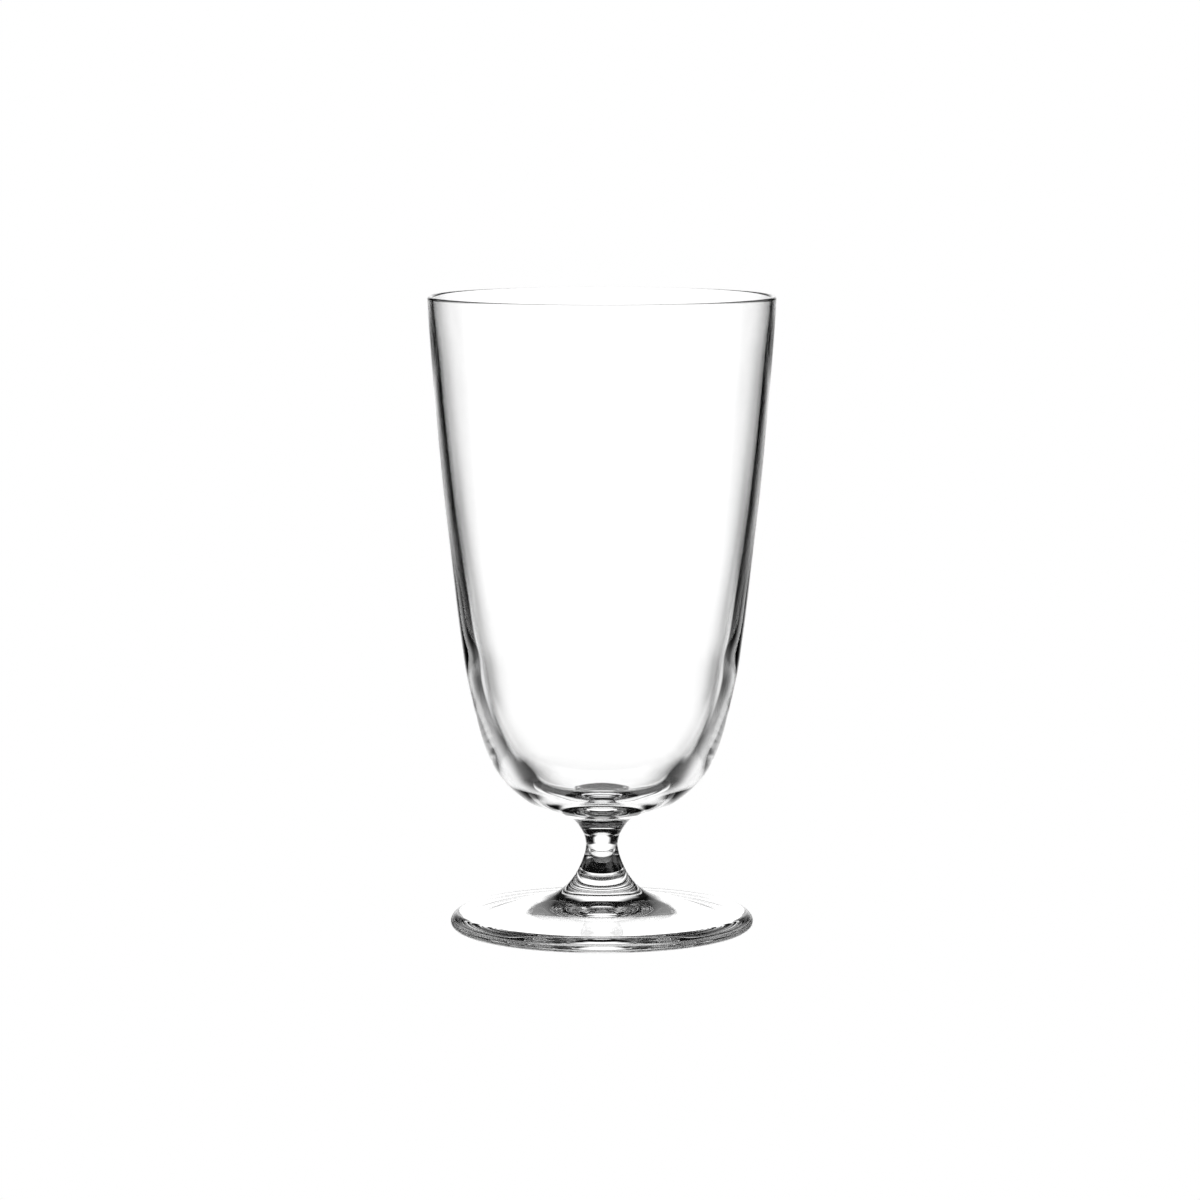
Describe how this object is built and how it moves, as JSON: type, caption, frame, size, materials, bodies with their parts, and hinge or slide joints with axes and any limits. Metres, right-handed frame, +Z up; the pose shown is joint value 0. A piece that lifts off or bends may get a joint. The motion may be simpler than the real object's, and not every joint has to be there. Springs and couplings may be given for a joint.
{
  "type": "highball glass",
  "caption": "Tall clear drinking glass with a flaring straight-sided bowl, a rounded bottom, a short waisted stem and a round flat foot, for long drinks.",
  "frame": {"origin": "on the glass's axis, at the height of the foot's resting ring", "axes": "+Z up along the axis of revolution, from the foot to the rim; X and Y are level and alike, because the glass is round"},
  "size_m": [0.0852, 0.0852, 0.156],
  "materials": {
    "clear_glass": "polished"
  },
  "bodies": {
    "root": {"bowl": "clear_glass", "stem": "clear_glass", "foot": "clear_glass"}
  },
  "joints": []
}
